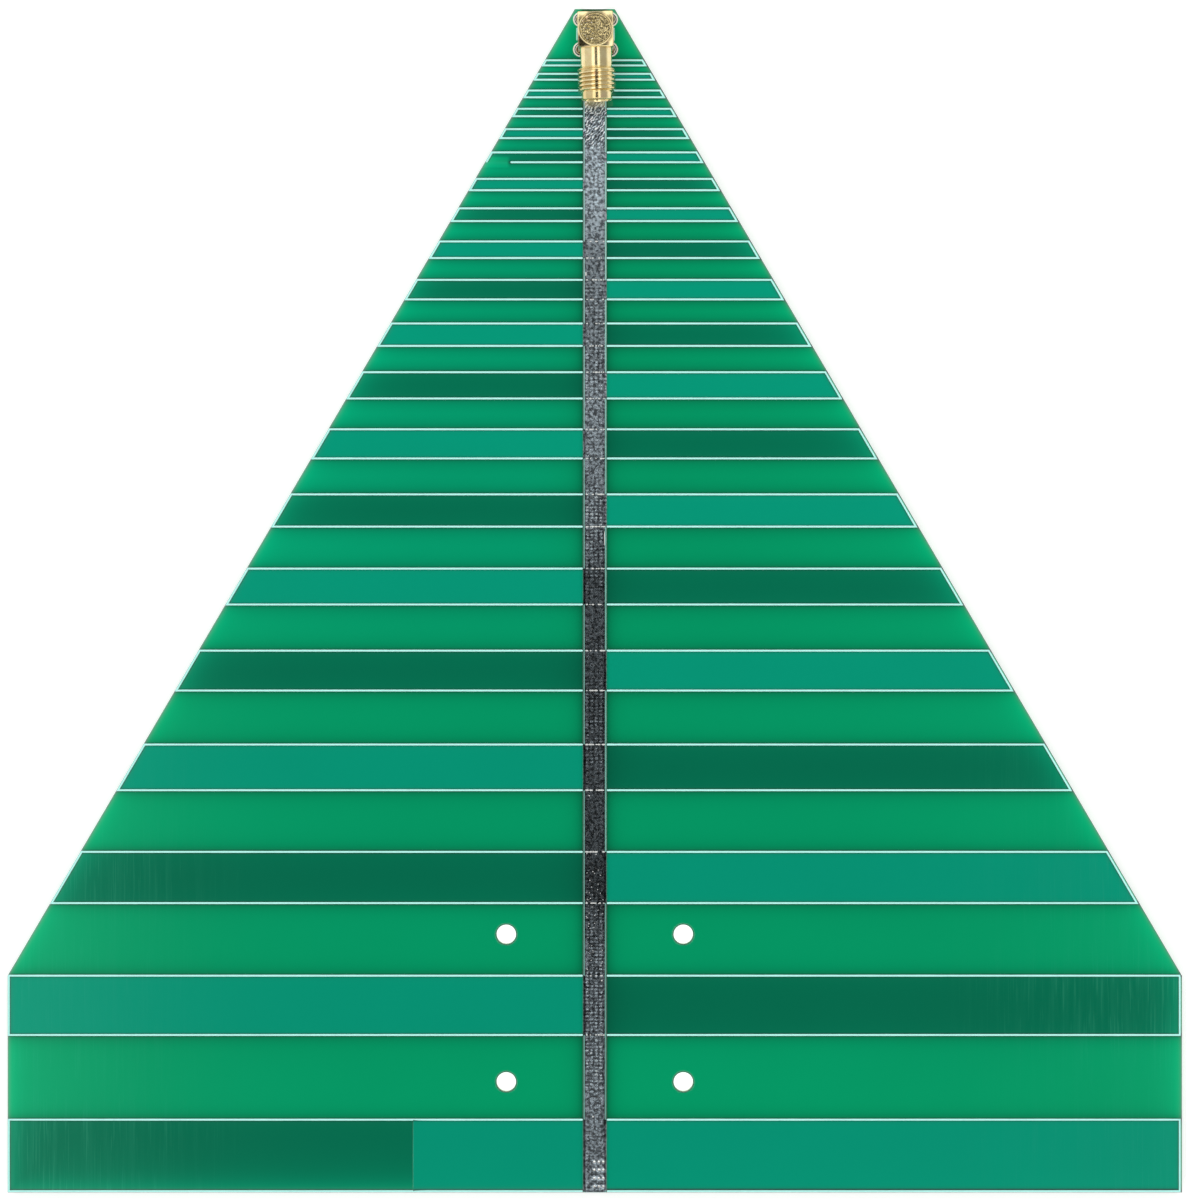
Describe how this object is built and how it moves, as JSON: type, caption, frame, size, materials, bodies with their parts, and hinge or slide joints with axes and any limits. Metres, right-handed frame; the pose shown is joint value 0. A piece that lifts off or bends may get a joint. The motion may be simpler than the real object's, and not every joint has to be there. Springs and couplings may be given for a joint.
{
  "type": "log-periodic pcb antenna",
  "caption": "Flat kite-shaped log-periodic antenna on a two-sided circuit board, with a right-angle threaded coaxial jack on its narrow end and a rectangle of mounting holes.",
  "frame": {"origin": "middle of the four mounting holes, on the laminate's back face", "axes": "+X to the right and +Y towards the narrow end, seen from the jack's side; +Z out of the jack's side of the board"},
  "size_m": [0.199, 0.2005, 0.0115],
  "materials": {
    "laminate": "glass-epoxy board, woven glass at the cut edges",
    "copper": "copper foil under green lacquer",
    "lacquer": "glossy green solder mask",
    "legend": "white printed ink",
    "tin": "dull tin coat and solder",
    "plating": "tinned copper hole plating",
    "gold": "bright gold plated brass",
    "cap_metal": "gold plated disc with a mottled cast face",
    "bead": "white fluoropolymer"
  },
  "bodies": {
    "root": {"board_laminate": "laminate", "front_copper_foil": "copper", "back_copper_foil": "copper", "front_solder_mask": "lacquer", "back_solder_mask": "lacquer", "front_legend_ink": "legend", "front_boom_tinning": "tin", "back_boom_tinning": "tin", "via_barrels": "plating", "pin_hole_barrels": "plating", "sma_body": "gold", "sma_cap": "cap_metal", "sma_barrel_insulator": "bead", "sma_base_insulator": "bead", "sma_socket_contact": "gold", "sma_feed_pin": "gold", "ground_solder_joints": "tin", "feed_solder_joint": "tin"}
  },
  "joints": []
}
